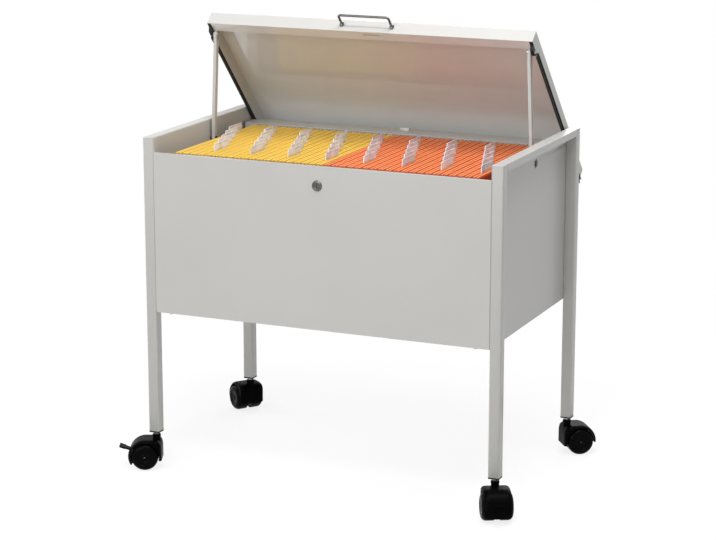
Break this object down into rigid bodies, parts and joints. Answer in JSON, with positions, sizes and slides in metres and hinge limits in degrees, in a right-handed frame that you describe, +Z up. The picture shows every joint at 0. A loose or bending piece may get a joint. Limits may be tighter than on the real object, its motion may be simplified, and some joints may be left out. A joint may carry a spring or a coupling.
{
  "type": "rolling file cart",
  "caption": "Sheet-steel hanging-file box on four castored posts, with a shallow lid that tips up and back on two swinging stays.",
  "frame": {"origin": "on the floor, under the middle of the whole object's box at rest, lid open", "axes": "+Z up, +X to the right as seen from the front, front panel with the lock towards -Y"},
  "size_m": [0.7865, 0.5593, 0.8292],
  "materials": {
    "cart_paint": "light warm grey satin powder coat",
    "black_plastic": "fine matt moulding",
    "castor_plastic": "polished black moulding",
    "white_plastic": "satin moulding",
    "steel": "bright zinc plate",
    "chrome": "bright plate",
    "yellow_card": "uncoated coloured card",
    "orange_card": "uncoated coloured card",
    "tab_plastic": "clear-coated paper label in a plastic tab"
  },
  "bodies": {
    "root": {"front_left_post": "cart_paint", "back_left_post": "cart_paint", "front_right_post": "cart_paint", "back_right_post": "cart_paint", "post_caps": "black_plastic", "left_top_rail": "cart_paint", "right_top_rail": "cart_paint", "front_panel": "cart_paint", "rear_panel": "cart_paint", "left_wall": "cart_paint", "right_wall": "cart_paint", "bottom_sheet": "cart_paint", "bottom_screws": "steel", "front_hanging_rail": "steel", "rear_hanging_rail": "steel", "lid_rest_block": "white_plastic", "stay_foot_bolts": "steel", "guide_pins": "white_plastic", "lock_barrel": "chrome", "lock_nut": "steel", "yellow_files": "yellow_card", "orange_files": "orange_card", "yellow_file_tabs": "tab_plastic", "orange_file_tabs": "tab_plastic", "yellow_file_hangers": "steel", "orange_file_hangers": "steel"},
    "right_stay": {"right_stay": "cart_paint"},
    "left_stay": {"left_stay": "cart_paint"},
    "lid": {"lid_shell": "cart_paint", "left_lid_bracket": "black_plastic", "right_lid_bracket": "black_plastic", "left_lid_guide": "black_plastic", "right_lid_guide": "black_plastic", "stay_top_rivets": "steel", "lid_handle": "chrome", "handle_screws": "steel"},
    "lock_plug": {"lock_plug": "chrome", "lock_cam": "steel"},
    "front_left_castor": {"front_left_castor_hood": "castor_plastic", "front_left_castor_stem": "steel", "front_left_castor_axle": "steel"},
    "front_left_wheel_a": {"front_left_castor_wheel_a": "castor_plastic"},
    "front_left_wheel_b": {"front_left_castor_wheel_b": "castor_plastic"},
    "front_left_brake_lever": {"front_left_brake_lever": "castor_plastic"},
    "front_right_castor": {"front_right_castor_hood": "castor_plastic", "front_right_castor_stem": "steel", "front_right_castor_axle": "steel"},
    "front_right_wheel_a": {"front_right_castor_wheel_a": "castor_plastic"},
    "front_right_wheel_b": {"front_right_castor_wheel_b": "castor_plastic"},
    "front_right_brake_lever": {"front_right_brake_lever": "castor_plastic"},
    "back_left_castor": {"back_left_castor_hood": "castor_plastic", "back_left_castor_stem": "steel", "back_left_castor_axle": "steel"},
    "back_left_wheel_a": {"back_left_castor_wheel_a": "castor_plastic"},
    "back_left_wheel_b": {"back_left_castor_wheel_b": "castor_plastic"},
    "back_right_castor": {"back_right_castor_hood": "castor_plastic", "back_right_castor_stem": "steel", "back_right_castor_axle": "steel"},
    "back_right_wheel_a": {"back_right_castor_wheel_a": "castor_plastic"},
    "back_right_wheel_b": {"back_right_castor_wheel_b": "castor_plastic"}
  },
  "joints": [
    {"name": "right_stay_swing", "type": "hinge", "parent": "root", "child": "right_stay", "pos_m": [0.313, -0.0009, 0.582], "axis": [1, 0, 0], "range_deg": [0, 87.95]},
    {"name": "left_stay_swing", "type": "hinge", "parent": "root", "child": "left_stay", "pos_m": [-0.313, -0.0009, 0.582], "axis": [1, 0, 0], "range_deg": [0, 87.96]},
    {"name": "lid_hinge", "type": "hinge", "parent": "right_stay", "child": "lid", "pos_m": [0.3065, -0.0009, 0.77772], "axis": [1, 0, 0], "range_deg": [-41.46, 0]},
    {"name": "lock_turn", "type": "hinge", "parent": "root", "child": "lock_plug", "pos_m": [0, -0.22325, 0.557], "axis": [0, -1, 0], "range_deg": [0, 90]},
    {"name": "front_left_swivel", "type": "hinge", "parent": "root", "child": "front_left_castor", "pos_m": [-0.3315, -0.21325, 0.06], "axis": [0, 0, 1], "continuous": true},
    {"name": "front_left_wheel_a_spin", "type": "hinge", "parent": "front_left_castor", "child": "front_left_wheel_a", "pos_m": [-0.35083, -0.22146, 0.025], "axis": [-0.3907, 0.9205, 0], "continuous": true},
    {"name": "front_left_wheel_b_spin", "type": "hinge", "parent": "front_left_castor", "child": "front_left_wheel_b", "pos_m": [-0.35083, -0.22146, 0.025], "axis": [-0.3907, 0.9205, 0], "continuous": true},
    {"name": "front_left_brake_press", "type": "hinge", "parent": "front_left_castor", "child": "front_left_brake_lever", "pos_m": [-0.37581, -0.23206, 0.03434], "axis": [0.3907, -0.9205, 0], "range_deg": [0, 20]},
    {"name": "front_right_swivel", "type": "hinge", "parent": "root", "child": "front_right_castor", "pos_m": [0.3315, -0.21325, 0.06], "axis": [0, 0, 1], "continuous": true},
    {"name": "front_right_wheel_a_spin", "type": "hinge", "parent": "front_right_castor", "child": "front_right_wheel_a", "pos_m": [0.34136, -0.23179, 0.025], "axis": [-0.8829, -0.4695, 0], "continuous": true},
    {"name": "front_right_wheel_b_spin", "type": "hinge", "parent": "front_right_castor", "child": "front_right_wheel_b", "pos_m": [0.34136, -0.23179, 0.025], "axis": [-0.8829, -0.4695, 0], "continuous": true},
    {"name": "front_right_brake_press", "type": "hinge", "parent": "front_right_castor", "child": "front_right_brake_lever", "pos_m": [0.3541, -0.25575, 0.03434], "axis": [0.8829, 0.4695, 0], "range_deg": [0, 20]},
    {"name": "back_left_swivel", "type": "hinge", "parent": "root", "child": "back_left_castor", "pos_m": [-0.3315, 0.17425, 0.06], "axis": [0, 0, 1], "continuous": true},
    {"name": "back_left_wheel_a_spin", "type": "hinge", "parent": "back_left_castor", "child": "back_left_wheel_a", "pos_m": [-0.34805, 0.18718, 0.025], "axis": [0.6157, 0.788, 0], "continuous": true},
    {"name": "back_left_wheel_b_spin", "type": "hinge", "parent": "back_left_castor", "child": "back_left_wheel_b", "pos_m": [-0.34805, 0.18718, 0.025], "axis": [0.6157, 0.788, 0], "continuous": true},
    {"name": "back_right_swivel", "type": "hinge", "parent": "root", "child": "back_right_castor", "pos_m": [0.3315, 0.17425, 0.06], "axis": [0, 0, 1], "continuous": true},
    {"name": "back_right_wheel_a_spin", "type": "hinge", "parent": "back_right_castor", "child": "back_right_wheel_a", "pos_m": [0.34849, 0.18659, 0.025], "axis": [0.5878, -0.809, 0], "continuous": true},
    {"name": "back_right_wheel_b_spin", "type": "hinge", "parent": "back_right_castor", "child": "back_right_wheel_b", "pos_m": [0.34849, 0.18659, 0.025], "axis": [0.5878, -0.809, 0], "continuous": true}
  ],
  "couplings": [
    {"joint": "left_stay_swing", "follows": "right_stay_swing", "ratio": 1},
    {"joint": "lid_hinge", "follows": "right_stay_swing", "ratio": -0.47129}
  ]
}
